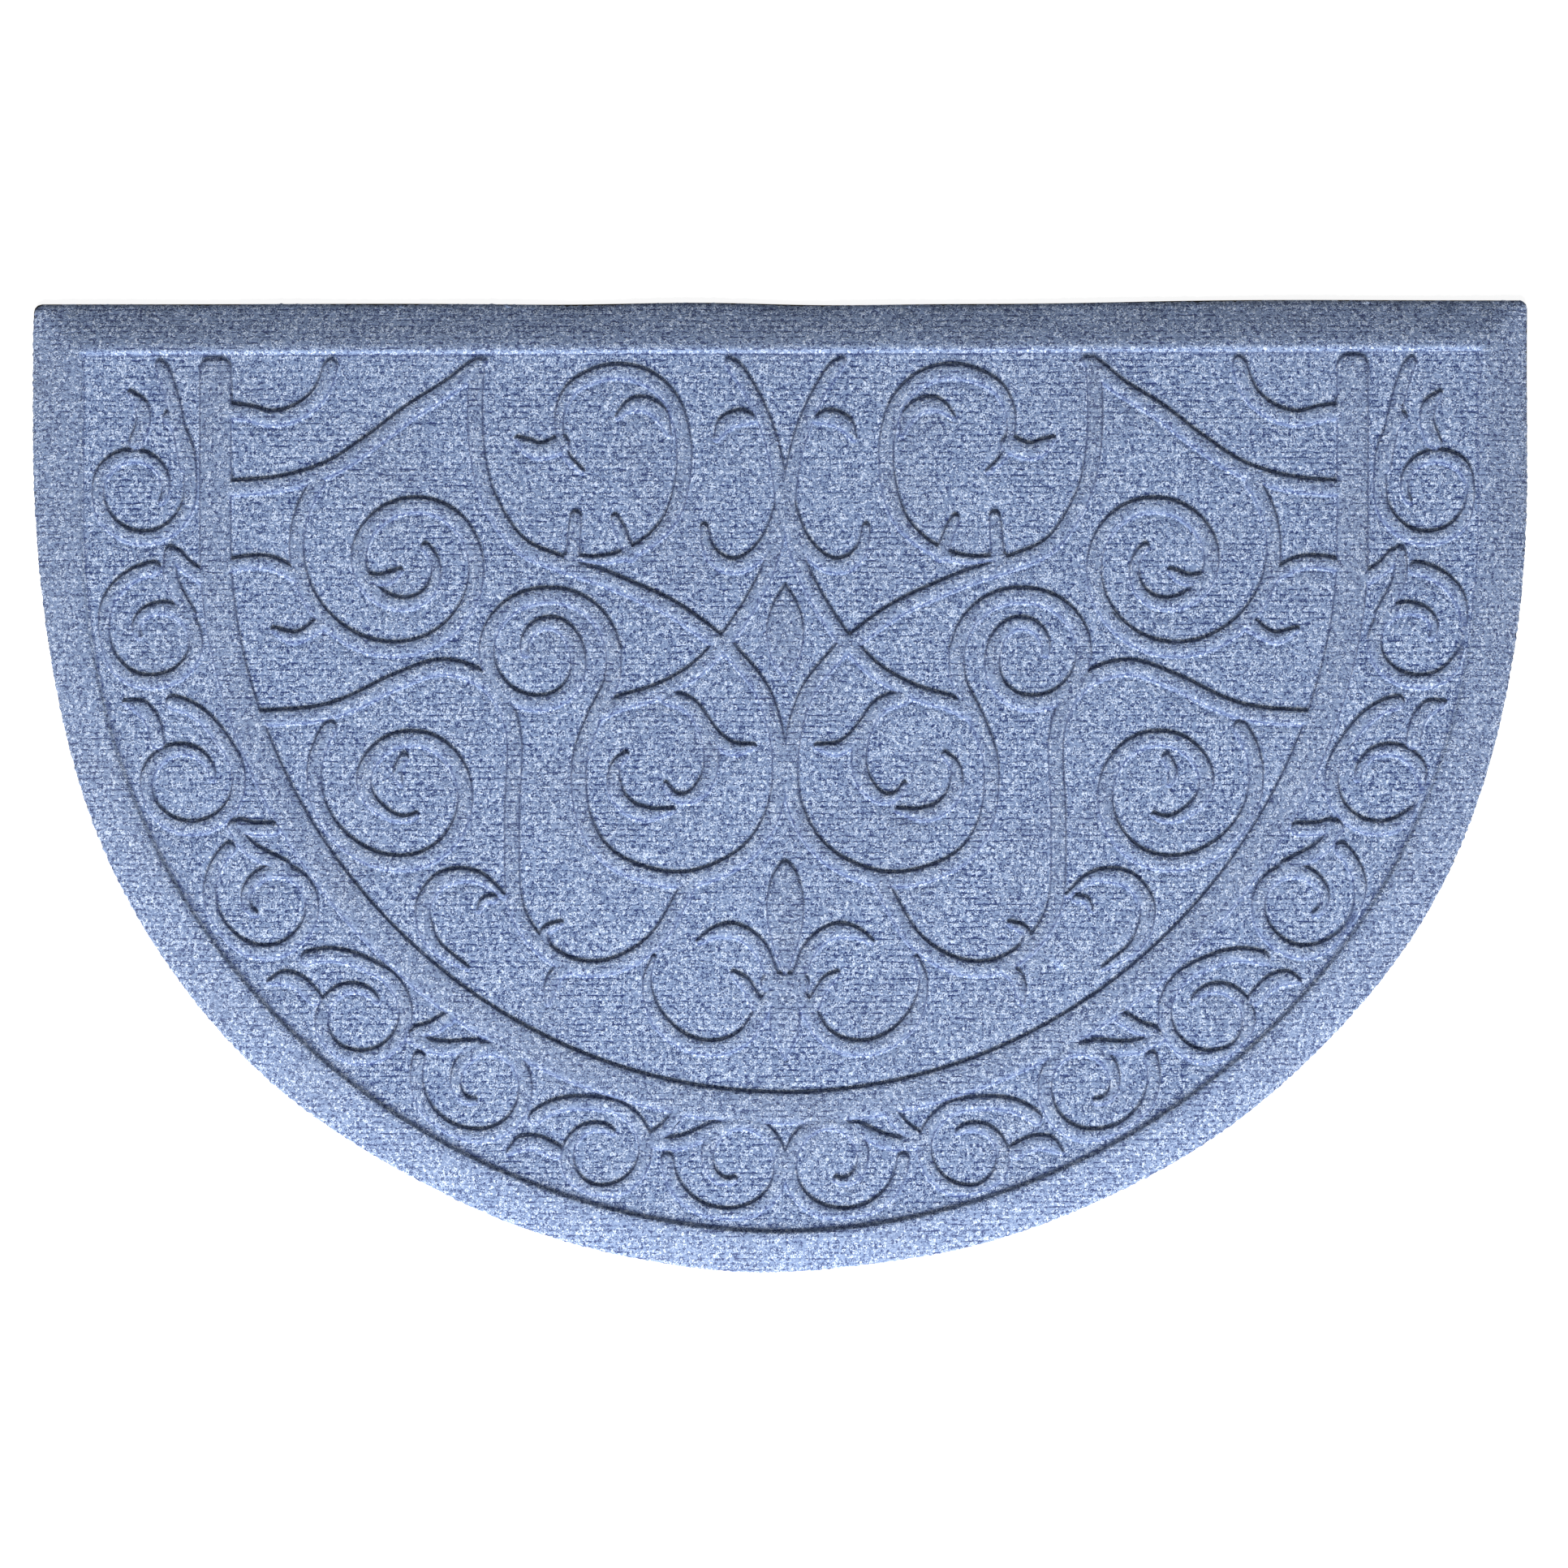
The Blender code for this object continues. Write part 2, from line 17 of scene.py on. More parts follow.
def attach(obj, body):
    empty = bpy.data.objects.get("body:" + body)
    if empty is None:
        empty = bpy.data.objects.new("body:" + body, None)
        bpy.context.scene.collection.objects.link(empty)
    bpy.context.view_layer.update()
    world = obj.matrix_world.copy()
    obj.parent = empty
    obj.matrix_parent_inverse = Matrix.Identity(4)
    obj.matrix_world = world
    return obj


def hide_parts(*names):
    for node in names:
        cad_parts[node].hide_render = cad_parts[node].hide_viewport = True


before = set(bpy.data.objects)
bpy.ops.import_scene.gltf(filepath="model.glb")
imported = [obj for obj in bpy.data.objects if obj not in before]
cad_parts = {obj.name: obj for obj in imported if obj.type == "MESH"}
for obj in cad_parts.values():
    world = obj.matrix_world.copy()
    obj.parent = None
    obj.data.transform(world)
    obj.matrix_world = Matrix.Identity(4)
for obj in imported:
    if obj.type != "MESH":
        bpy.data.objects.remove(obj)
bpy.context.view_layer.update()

MM = 0.001
TINY = 1e-12
TINY_LENGTH = 1e-6

# Overall size and heights, as in the part
MAT_WIDTH = 914.0
MAT_DEPTH = 593.0
CORNER_RADIUS = 5.0
CORNER_STEPS = 6
RUBBER_LIP = 1.5
RUBBER_FLOOR = 5.5
RUBBER_CREST = 7.6
GAP = 0.3
CLOTH_THICKNESS = 2.6
RIM_RISE = RUBBER_CREST - RUBBER_LIP
RIM_BASE = RUBBER_LIP + GAP + CLOTH_THICKNESS
BASIN_TOP = RUBBER_FLOOR + GAP + CLOTH_THICKNESS
BAND_RISE = 2.1

# Insets from the cut edge: of the rim's inner line at the straight edge, at the sides and at the
# foot, and of the frame strip's centre line at the sides and at the foot. Then the strip's width
RIM_TOP = 30.8
RIM_SIDE = 29.5
RIM_FOOT = 25.0
STRIP_SIDE = 109.5
STRIP_FOOT = 100.0
STRIP_WIDTH = 19.5

# How far the ornament and the strip lie to the right of the mat's middle
ORNAMENT_SHIFT = 2.4
STRIP_SHIFT = 1.7

# A half-round line: straight sides, then an oval that closes at the full depth. Uneven is the
# share of the cut edge's unevenness that it follows
HalfRound = namedtuple("HalfRound", "top half_width depth straight bulge roundness uneven")
OUTLINE = HalfRound(0.0, MAT_WIDTH / 2, MAT_DEPTH, 60.0, 2.7, 1.9, 1.0)
RIM_LINE = HalfRound(RIM_TOP, MAT_WIDTH / 2 - RIM_SIDE, MAT_DEPTH - RIM_FOOT,
                     120.0, 2.2, 1.9, 0.0)
STRIP_LINE = HalfRound(RIM_TOP, MAT_WIDTH / 2 - STRIP_SIDE, MAT_DEPTH - STRIP_FOOT,
                       150.0, 1.9, 2.0, 0.0)

# Slow unevenness of the cut edge: height in mm, waves round the mat, phase
Wave = namedtuple("Wave", "height waves phase")
EDGE_WAVES = (
    Wave(0.9, 3, 0.4),
    Wave(0.6, 7, 2.1),
    Wave(0.4, 13, 4.0),
)
EDGE_SLOPE = 3.0

# Raised bands. A width is full width at the start, in the middle and at the end, and changes
# over TAPER_SHARE of the band at either end. No leaf is narrower than twice LEAF_TIP
TAPER_SHARE = 0.3
LEAF_POINTS = 17
LEAF_TIP = 0.4
Vine = namedtuple("Vine", "name width points")
Scroll = namedtuple("Scroll", "name width out down start turn step radii")
Leaf = namedtuple("Leaf", "name width down_top down_foot belly")

VINES = (
    Vine("corner loop", (9.5, 9.5, 9.5),
         ((343, 66.5), (327, 68.5), (314, 71.5), (300, 68.5), (287, 59.5), (280, 47), (277, 34))),
    Vine("shoulder sweep", (9.5, 9.5, 9.5),
         ((343, 114.5), (309, 111.5), (279, 102.5), (254, 86.5), (229, 67.5), (203, 51), (184, 34))),
    Vine("side arch", (8, 8, 7),
         ((340, 161.5), (324, 159), (311, 161), (297, 169))),
    Vine("side barb", (9, 7, 3),
         ((283, 196.5), (299, 205.5), (313, 200.5))),
    Vine("shoulder eye", (8, 7, 3),
         ((255, 170), (245, 170), (235, 164.5))),
    Vine("great sweep", (9.5, 9.5, 9.5),
         ((326, 255), (289, 252.5), (266, 246), (237, 232), (208, 223.5), (180, 235), (166, 264),
          (167, 317), (164, 371), (141, 401), (111, 407.5), (80, 391), (57.5, 354))),
    Vine("sweep tongue", (7, 5, 3),
         ((147, 394), (147, 385), (137, 380))),
    Vine("sweep leaf", (9, 8, 3),
         ((133, 406), (142, 414), (145, 429))),
    Vine("low hook", (3, 9.5, 3),
         ((172.5, 363), (184.5, 353.5), (197.5, 350.5), (212, 355), (221, 368), (220, 382),
          (213, 395), (194.5, 407.5))),
    Vine("low hook tongue", (5, 4, 2.5),
         ((178, 365), (184, 366), (187.5, 372.5))),
    Vine("low scroll eye", (6, 5.5, 3),
         ((233, 279), (237, 287), (235, 295))),
    Vine("heart side", (9.5, 9.5, 9),
         ((104.5, 213), (106.5, 233), (118, 257), (126, 284), (122, 319), (103, 343), (64.5, 353.5),
          (28, 340.5), (8, 314), (3.5, 279.5), (13, 240), (38.5, 207.5))),
    Vine("crossing band", (9.5, 9.5, 9.5),
         ((188, 34), (189.5, 63), (188, 93), (181, 120.5), (163, 148), (138, 160), (114, 168),
          (92, 177), (71.5, 186.5), (52.5, 199), (36, 212.5))),
    Vine("heart top", (9, 9, 9),
         ((37, 207.5), (52.5, 223.5), (67.5, 233.5), (83.5, 240.5), (101, 245.5), (114, 252))),
    Vine("heart curl", (9, 9.5, 3),
         ((71.5, 242), (58.5, 247), (49.5, 259.5), (45, 277), (48, 293), (57.5, 303), (67.5, 302.5),
          (73, 295))),
    Vine("heart barb", (9, 8, 3),
         ((50.5, 257), (42, 267), (32, 273.5), (19, 272))),
    Vine("heart comma", (4, 9, 3),
         ((97.5, 277), (104, 284.5), (104, 298), (97, 308.5), (84.5, 313.5), (68.5, 311))),
    Vine("high arch", (3, 9.5, 3),
         ((124, 104), (133.5, 94.5), (138, 78.5), (136.5, 63.5), (127, 50.5), (104.5, 42.5),
          (83.5, 47.5), (68.5, 62.5), (62, 86), (63, 110.5), (69.5, 131.5), (81.5, 145.5),
          (97.5, 154.5), (115.5, 158), (134, 155.5))),
    Vine("high arch barb", (11, 10, 3),
         ((137, 87.5), (151, 91.5), (164, 84))),
    Vine("high arch crescent", (3, 9, 3),
         ((102.5, 70.5), (95, 64), (85, 63), (75.5, 69.5), (71, 81.5))),
    Vine("left tongue", (9, 8, 7),
         ((130, 158), (129, 143), (128, 131.5))),
    Vine("right tongue", (8, 7, 5),
         ((95, 155), (100, 142), (104, 132.5))),
    Vine("ogee side", (8.5, 8.5, 9),
         ((35, 34), (25, 48.5), (16, 65), (9, 83.5), (4, 106), (2.5, 133), (10, 162), (21.5, 185),
          (37, 208.5))),
    Vine("ogee brow", (4, 9.5, 3),
         ((42, 83.5), (37, 75), (28, 71), (17, 72.5))),
    Vine("ogee hook", (5, 9.5, 9),
         ((49.5, 138), (47, 151), (39.5, 159.5), (29, 161.5), (18, 155.5), (8.5, 143), (2.5, 126))),
    Vine("lily petal", (3, 9, 8),
         ((53, 391.5), (43.5, 386), (32, 384.5), (22, 389), (14, 397.5), (7.5, 413.5))),
    Vine("lily curl", (3, 9.5, 9),
         ((80.5, 401), (84.5, 416), (80.5, 433.5), (69.5, 447.5), (53.5, 455.5), (37.5, 455.5),
          (24, 448.5), (15.5, 435.5), (5, 418.5))),
    Vine("lily barb", (3, 7, 9),
         ((32, 410.5), (24, 417.5), (17, 430))),
    Vine("lily tie", (12, 13, 12),
         ((9, 417), (0, 417))),
    Vine("border stem", (8, 8.5, 8.5),
         ((383, 34), (375.5, 56), (370.5, 78), (366, 101))),
)

SCROLLS = (
    Scroll("shoulder scroll", (9, 9.5, 5), 234, 163, 135, 1, 90,
           (73.5, 54.5, 46.5, 43.5, 31, 22.5, 22, 19)),
    Scroll("low scroll", (9, 9.5, 3), 238, 301, 135, 1, 90,
           (57, 42.5, 43.5, 39.5, 24.5, 13.5, 18)),
    Scroll("small scroll", (9.5, 9.5, 5), 145.5, 215, 0, 1, 90,
           (40.5, 35.5, 37, 30, 18.5, 18.5, 13.5)),
)

LEAVES = (
    Leaf("ogee leaf", 23, 173, 232, 1.0),
    Leaf("lily centre", 23, 342, 414, 0.75),
    Leaf("lily foot", 19, 421, 463, 0.75),
)

# The running scrolls of the border: two unlike units in turn, each leaned along the border
Unit = namedtuple("Unit", "out down lean size")
STEM_UNITS = (
    Unit(393.5, 118, -105, 1.03),
    Unit(363, 295, -72, 1.06),
    Unit(258.5, 436.5, -41, 1.0),
    Unit(110.5, 519, -20, 0.97),
)
CURL_UNITS = (
    Unit(388.5, 205.5, -90, 1.0),
    Unit(318, 371, -55, 1.0),
    Unit(186.5, 483, -25, 1.0),
    Unit(30, 530, -4, 1.0),
)
STEM_SCROLL = Scroll("stem scroll", (8, 8.5, 4), 0, 0, 175, -1, 45,
                     (48.5, 32, 28, 26.5, 25.5, 25.5, 26.5, 24.5, 20.5, 16, 12.5))
STEM_VINES = (
    Vine("stem leaf", (3, 9, 9), ((-56.5, -22), (-50.5, -13.5), (-41, -10), (-29, -11))),
)
CURL_SCROLL = Scroll("curl scroll", (8, 8.5, 4), 0, 0, 176, 1, 90, (42.5, 28.5, 27, 28.5, 17, 6.5))
CURL_VINES = (
    Vine("curl link", (8, 8.5, 8), ((-52, 13), (-40, 12.5), (-29, 16), (-14, 24.5))),
    Vine("curl leaf", (8, 8, 8), ((-50, 17), (-44, 22), (-37, 32))),
)

# The rim's upper face from the cut edge (share 0) to its inner line (share 1): height over
# RIM_BASE, in mm. The last two steps lead down to the field
RIM_SHARES = (0.0, 0.03, 0.08, 0.5, 0.80, 0.89, 0.945, 0.97, 1.01, 1.045)
RIM_HEIGHTS = (-1.1, -0.3, 0.1, 0.60 * RIM_RISE, 0.95 * RIM_RISE, RIM_RISE, 0.985 * RIM_RISE,
               0.93 * RIM_RISE, BASIN_TOP - RIM_BASE + 0.2, BASIN_TOP - RIM_BASE)

# The rubber's upper face under the rim: share of the rim's width, height in mm
RUBBER_STEPS = (
    (0.5, RUBBER_LIP + 0.62 * RIM_RISE),
    (0.84, RUBBER_CREST),
    (1.05, RUBBER_FLOOR),
)

# Side walls from the top edge down: reach outward in mm, and height over the carpet's underside
# for the carpet, over the floor for the rubber
CARPET_WALL = ((0.25, 1.1), (0.2, 0.5), (0.0, 0.0))
RUBBER_WALL = ((0.0, RUBBER_LIP - 0.4), (-0.2, 0.0))
SHARP_ANGLE = 40.0

# The rubber's lip past the carpet, in mm: along the straight edge, and down the right side for a
# length. Each starts a little inside the edge and grows over its run
CARPET_INSET = 0.15
LIP_TOP = 0.9
LIP_TOP_START = 14.0
LIP_TOP_RUN = 10.0
LIP_RIGHT = 0.6
LIP_RIGHT_START = 12.0
LIP_RIGHT_RUN = 8.0
LIP_RIGHT_LENGTH = 120.0
LIP_RIGHT_FADE = 50.0
LIP_EVEN = 0.8

# Unrest: height and length in mm, seed. The face's fades out over UNREST_FADE towards the cut
# edge, and the lip's is a share of its reach. Each is a sum of waves whose frequencies are spread
Unrest = namedtuple("Unrest", "height length seed")
FACE_UNREST = (Unrest(0.12, 55.0, 3), Unrest(0.05, 17.0, 4))
EDGE_FRAY = (Unrest(0.28, 5.0, 21), Unrest(0.16, 2.2, 22))
LIP_UNREST = (Unrest(0.35, 90.0, 11),)
UNREST_FADE = 12.0
WAVE_COUNT = 9
WAVE_SPREAD = (0.7, 1.5)
WAVE_PEAK = 1.6

# Height field: grid spacing, margin round the mat, share of a cell left free inside the cut edge,
# sampling of the curves, and how many triangles the face is thinned to
GRID = 0.85
GRID_MARGIN = 6.0
EDGE_CELL = 0.45
CURVE_STEP = 2.0
OVAL_STEPS = 160
TOP_STEPS = 200
SIDE_STEPS = 30
CARPET_TRIANGLES = 155000

# Relief profile: half width of the steep flank, reach of the rounded crown, the flank's share of
# the rise, groove at the foot, and the moat that keeps the bands off the rim. Further than
# BAND_REACH from every band, the depth is FAR_OUTSIDE
FLANK_HALF = 0.7
CROWN_REACH = 4.6
FLANK_SHARE = 0.68
GROOVE_DEPTH = 0.35
GROOVE_PLACE = -0.9
GROOVE_WIDTH = 0.7
MOAT = 2.6
MOAT_ROUNDING = 8.0
FAR_OUTSIDE = -20.0
BAND_REACH = 8.0

# How the material tells a raised place: offset, and width of the change in mm. Where the change is
# half done, on the bands' flanks and at the rim's foot, the material paints crease shade
BAND_MARK = 0.4
BAND_MARK_WIDTH = 3.0
RIM_MARK = 1.1
RIM_MARK_WIDTH = 2.0

# Colours of the fibre and the rubber, distance of the punched rows in mm, and the strength of the
# painted shade in the creases on the flanks. The dark fibre colour is also the colour of that
# painted shade
DARK_FIBRE_AND_SHADE = (0.018, 0.034, 0.125, 1.0)
FIBRE_MIDDLE = (0.172, 0.242, 0.402, 1.0)
FIBRE_LIGHT = (0.575, 0.660, 0.830, 1.0)
FIBRE_GREY = (0.150, 0.165, 0.205, 1.0)
RUBBER_DARK = (0.016, 0.014, 0.013, 1.0)
RUBBER_WORN = (0.034, 0.029, 0.026, 1.0)
ROW_PITCH = 3.5
FLANK_PAINTED_SHADE = 0.55

# Curled strands: cell in mm, shift of the pattern, radius and width of the ring as shares of a
# cell, where the ring breaks, seed, and how much the curls lighten the tone
Curls = namedtuple("Curls", "cell offset ring width breaks seed weight")
DARK_CURLS = Curls((2.6, ROW_PITCH), 0.0, 0.33, 0.14, 0.40, 0.0, -0.46)
DARK_SMALL = Curls((2.1, ROW_PITCH / 2), 31.0, 0.34, 0.17, 0.44, 17.5, -0.30)
LIGHT_CURLS = Curls((2.5, ROW_PITCH), 57.0, 0.33, 0.14, 0.38, 9.0, 0.46)
LIGHT_SMALL = Curls((2.0, ROW_PITCH / 2), 83.0, 0.34, 0.17, 0.44, 41.0, 0.28)
GRAIN_WEIGHT = 0.9
CLUMP_WEIGHT = 0.45
TONE_START = 0.26

# Studio: floor, one soft lamp beyond the round edge, and the light all round, in m and W
FLOOR_HALF = 12.0
FLOOR_DROP = 0.0002
FLOOR_TONE = (0.35, 0.35, 0.35, 1.0)
FLOOR_GLOW = 0.88
WHITE = (1.0, 1.0, 1.0, 1.0)
KEY_PLACE = (-0.3, -4.2, 2.4)
KEY_SIZE = 2.6
KEY_POWER = 615.0
WORLD_LIGHT = 0.20

# Camera, in m: height over the mat, width that the frame takes in, and place
CAMERA_HEIGHT = 2.5
FRAME_WIDTH = 0.9586
CAMERA_PLACE = (0.0017, 0.0017)
SENSOR_WIDTH = 36.0


def edge_wave(angle):
    """How far the cut edge strays outward, in mm, at an angle seen from the mat's middle."""
    return sum(wave.height * np.sin(wave.waves * angle + wave.phase) for wave in EDGE_WAVES)


def oval_side(line):
    """One side of a half-round line as (half width, down) from its top corner to its foot."""
    corner = CORNER_RADIUS if line.top == OUTLINE.top else 0.0
    points = [(line.half_width - corner, line.top)]
    for turn in range(1, CORNER_STEPS + 1 if corner else 1):
        bend = math.pi / 2 / CORNER_STEPS * turn
        points.append((line.half_width - corner + corner * math.sin(bend),
                       line.top + corner - corner * math.cos(bend)))
    for step in range(1, SIDE_STEPS + 1):
        points.append((line.half_width, line.top + corner
                       + (line.straight - line.top - corner) * step / SIDE_STEPS))
    for step in range(1, OVAL_STEPS + 1):
        fall = math.sin(math.pi / 2 * step / OVAL_STEPS)
        across = max(0.0, 1.0 - fall ** line.bulge) ** (1.0 / line.roundness)
        points.append((line.half_width * across,
                       line.straight + (line.depth - line.straight) * fall))
    return points


def closed_line(line):
    """A half-round line as a closed loop of x, y rows, clockwise from the top left."""
    side = np.array(oval_side(line))
    top_half = side[0, 0]
    share = np.arange(1, TOP_STEPS)[:, None] / TOP_STEPS
    top = np.column_stack([-top_half + 2 * top_half * share, np.full_like(share, line.top)])
    left = side[:-1][::-1] * (-1.0, 1.0)
    loop = np.vstack([top, side, left])
    x = loop[:, 0]
    y = MAT_DEPTH / 2 - loop[:, 1]
    angle = np.arctan2(y, x)
    stray = edge_wave(angle) * line.uneven
    return np.column_stack([x + stray * np.cos(angle),
                            y + stray * np.sin(angle) + EDGE_SLOPE * x / MAT_WIDTH])


def smooth_points(points):
    """A Catmull-Rom curve through the points."""
    knots = [np.array(point, float) for point in points]
    knots = [2 * knots[0] - knots[1]] + knots + [2 * knots[-1] - knots[-2]]
    curve = []
    for before, start, end, after in zip(knots, knots[1:], knots[2:], knots[3:]):
        steps = max(2, int(np.linalg.norm(end - start) / CURVE_STEP))
        t = (np.arange(steps) / steps)[:, None]
        curve.append(0.5 * (2 * start + (end - before) * t
                            + (2 * before - 5 * start + 4 * end - after) * t ** 2
                            + (3 * start - before - 3 * end + after) * t ** 3))
    curve.append(knots[-2][None])
    return np.vstack(curve)


def scroll_points(scroll):
    """A scroll's centre line: its radius passes through one value at every step of its turn."""
    knots = [(scroll.step * index, radius) for index, radius in enumerate(scroll.radii)]
    path = smooth_points(knots)[::2]
    angles = np.radians(scroll.start + scroll.turn * path[:, 0])
    return np.stack([path[:, 1] * np.cos(angles), path[:, 1] * np.sin(angles)], axis=1)


def to_mat(points):
    """Points as (out, down) on the left half, moved to the mat's own x, y."""
    return np.stack([-points[:, 0], MAT_DEPTH / 2 - points[:, 1]], axis=1)


def place_unit(points, unit):
    """Points of a border unit, turned, sized and put in their place on the left half."""
    lean = math.radians(unit.lean)
    turned = np.stack([points[:, 0] * math.cos(lean) - points[:, 1] * math.sin(lean),
                       points[:, 0] * math.sin(lean) + points[:, 1] * math.cos(lean)], axis=1)
    return turned * unit.size + np.array([-unit.out, MAT_DEPTH / 2 - unit.down])


def band(points, width):
    """A raised band as rows of x, y, half width along its centre line."""
    share = np.linspace(0.0, 1.0, len(points))
    start, middle, end = width
    widths = np.interp(share, [0.0, TAPER_SHARE, 1.0 - TAPER_SHARE, 1.0],
                       [start, middle, middle, end])
    return np.column_stack([points, widths / 2])


def leaf_band(leaf):
    """An almond leaf on the centre line, widest nearer its top where belly is under 1."""
    share = np.linspace(0.0, 1.0, LEAF_POINTS)
    down = leaf.down_top + (leaf.down_foot - leaf.down_top) * share
    half = leaf.width / 2 * np.sin(np.pi * share ** leaf.belly)
    return np.column_stack([np.zeros_like(share), MAT_DEPTH / 2 - down, np.maximum(half, LEAF_TIP)])


def strip_band():
    """The raised strip that frames the field, from one end of the rim's top to the other."""
    side = np.array(oval_side(STRIP_LINE))
    side[:, 1] = MAT_DEPTH / 2 - side[:, 1]
    points = np.vstack([side, side[:-1][::-1] * (-1.0, 1.0)])
    return band(points, (STRIP_WIDTH,) * 3)


def left_bands():
    """All raised bands of the left half."""
    bands = []
    for vine in VINES:
        bands.append(band(to_mat(smooth_points(vine.points)), vine.width))
    for scroll in SCROLLS:
        centre = np.array([-scroll.out, MAT_DEPTH / 2 - scroll.down])
        bands.append(band(scroll_points(scroll) + centre, scroll.width))
    for units, scroll, vines in ((STEM_UNITS, STEM_SCROLL, STEM_VINES),
                                 (CURL_UNITS, CURL_SCROLL, CURL_VINES)):
        for unit in units:
            bands.append(band(place_unit(scroll_points(scroll), unit), scroll.width))
            for vine in vines:
                bands.append(band(place_unit(smooth_points(vine.points), unit), vine.width))
    return bands


def all_bands():
    """Every raised band: the left half, its mirror image, the leaves and the strip."""
    left = left_bands()
    right = [rows * np.array([-1.0, 1.0, 1.0]) for rows in left]
    bands = left + right + [leaf_band(leaf) for leaf in LEAVES]
    for rows in bands:
        rows[:, 0] += ORNAMENT_SHIFT
    bands.append(strip_band() + np.array([STRIP_SHIFT, 0.0, 0.0]))
    return bands


def line_distance(points, loop):
    """Distance of each point to a closed line, and whether it lies inside."""
    nearest = np.full(len(points), np.inf)
    inside = np.zeros(len(points), bool)
    for (x0, y0), (x1, y1) in zip(loop, np.roll(loop, -1, axis=0)):
        way_x = x1 - x0
        way_y = y1 - y0
        off_x = points[:, 0] - x0
        off_y = points[:, 1] - y0
        length = way_x ** 2 + way_y ** 2 + TINY
        share = np.clip((off_x * way_x + off_y * way_y) / length, 0, 1)
        away = (off_x - share * way_x) ** 2 + (off_y - share * way_y) ** 2
        nearest = np.minimum(nearest, away)
        if y0 != y1:
            crosses = (y0 > points[:, 1]) != (y1 > points[:, 1])
            inside ^= crosses & (off_x < off_y * way_x / way_y)
    return np.sqrt(nearest), inside


def band_depth(points, bands):
    """How far inside the nearest raised band's edge each point lies, in mm (outside: under 0)."""
    depth = np.full(len(points), FAR_OUTSIDE)
    order = np.argsort(points[:, 1])
    sorted_y = points[order, 1]
    for rows in bands:
        for (x0, y0, half0), (x1, y1, half1) in zip(rows, rows[1:]):
            room = max(half0, half1) + BAND_REACH
            low = np.searchsorted(sorted_y, min(y0, y1) - room)
            high = np.searchsorted(sorted_y, max(y0, y1) + room)
            near = order[low:high]
            x = points[near, 0]
            near = near[(x > min(x0, x1) - room) & (x < max(x0, x1) + room)]
            off_x = points[near, 0] - x0
            off_y = points[near, 1] - y0
            way_x = x1 - x0
            way_y = y1 - y0
            length = way_x ** 2 + way_y ** 2 + TINY
            share = np.clip((off_x * way_x + off_y * way_y) / length, 0.0, 1.0)
            away = np.hypot(off_x - share * way_x, off_y - share * way_y)
            inner = half0 + (half1 - half0) * share - away
            depth[near] = np.maximum(depth[near], inner)
    return depth


def smooth_step(value):
    """A soft step from 0 to 1 as the value goes from 0 to 1."""
    value = np.clip(value, 0.0, 1.0)
    return value * value * (3.0 - 2.0 * value)


def soft_minimum(first, second, rounding):
    """The smaller of two fields, with the corner between them rounded off."""
    share = np.clip(0.5 + 0.5 * (second - first) / rounding, 0.0, 1.0)
    return second + (first - second) * share - rounding * share * (1.0 - share)


def soft_waves(points, length, seed):
    """Slow, even unrest between about -1 and 1, with features of one length in mm."""
    rng = np.random.default_rng(seed)
    total = np.zeros(len(points))
    for _ in range(WAVE_COUNT):
        angle = rng.uniform(0.0, 2.0 * math.pi)
        stretch = rng.uniform(*WAVE_SPREAD) * 2.0 * math.pi / length
        phase = rng.uniform(0.0, 2.0 * math.pi)
        along = points[:, 0] * math.cos(angle) + points[:, 1] * math.sin(angle)
        total += np.sin(along * stretch + phase)
    return total / math.sqrt(WAVE_COUNT / 2.0) / WAVE_PEAK


def unrest(points, kinds):
    """Unrest of several kinds together."""
    return sum(kind.height * soft_waves(points, kind.length, kind.seed) for kind in kinds)


def unit_rows(rows):
    """Rows scaled to a length of 1."""
    return rows / np.maximum(np.linalg.norm(rows, axis=1), TINY_LENGTH)[:, None]


def right_of(loop):
    """At each point of a closed line, the unit vector to the right of the line's direction."""
    ahead = np.roll(loop, -1, axis=0) - np.roll(loop, 1, axis=0)
    return unit_rows(np.column_stack([ahead[:, 1], -ahead[:, 0]]))


def inset_line(loop, reach):
    """A clockwise closed line moved inward by a reach of its own at every point."""
    return loop + right_of(loop) * reach[:, None]


def grid_field(loop, xs, ys):
    """Signed distance to a closed line (inside over 0) on a grid, worked out at every other
    grid line and filled in between."""
    coarse_x = xs[::2]
    coarse_y = ys[::2]
    mesh_x, mesh_y = np.meshgrid(coarse_x, coarse_y)
    away, inside = line_distance(np.column_stack([mesh_x.ravel(), mesh_y.ravel()]), loop)
    coarse = np.where(inside, away, -away).reshape(mesh_x.shape)
    across = np.array([np.interp(xs, coarse_x, row) for row in coarse])
    return np.array([np.interp(ys, coarse_y, column) for column in across.T]).T


def carpet_height(points, edge_depth, rim_depth, bands):
    """The height of the carpet's upper face at each point, in mm."""
    rim_share = np.where(rim_depth > 0.0, 1.0 + rim_depth / RIM_TOP,
                         edge_depth / np.maximum(edge_depth - rim_depth, 0.01))
    base = RIM_BASE + np.interp(rim_share, RIM_SHARES, RIM_HEIGHTS)
    depth = soft_minimum(band_depth(points, bands), rim_depth - MOAT, MOAT_ROUNDING)
    flank = smooth_step(depth / (2.0 * FLANK_HALF) + 0.5)
    crown = 1.0 - (1.0 - np.clip(depth / CROWN_REACH, 0.0, 1.0)) ** 2
    groove = GROOVE_DEPTH * np.exp(-((depth - GROOVE_PLACE) / GROOVE_WIDTH) ** 2)
    groove = groove * smooth_step((rim_depth - MOAT) / MOAT)
    lift = FLANK_SHARE * flank + (1.0 - FLANK_SHARE) * crown
    calm = np.clip(edge_depth / UNREST_FADE, 0.0, 1.0)
    return base + BAND_RISE * lift - groove + calm * unrest(points, FACE_UNREST)


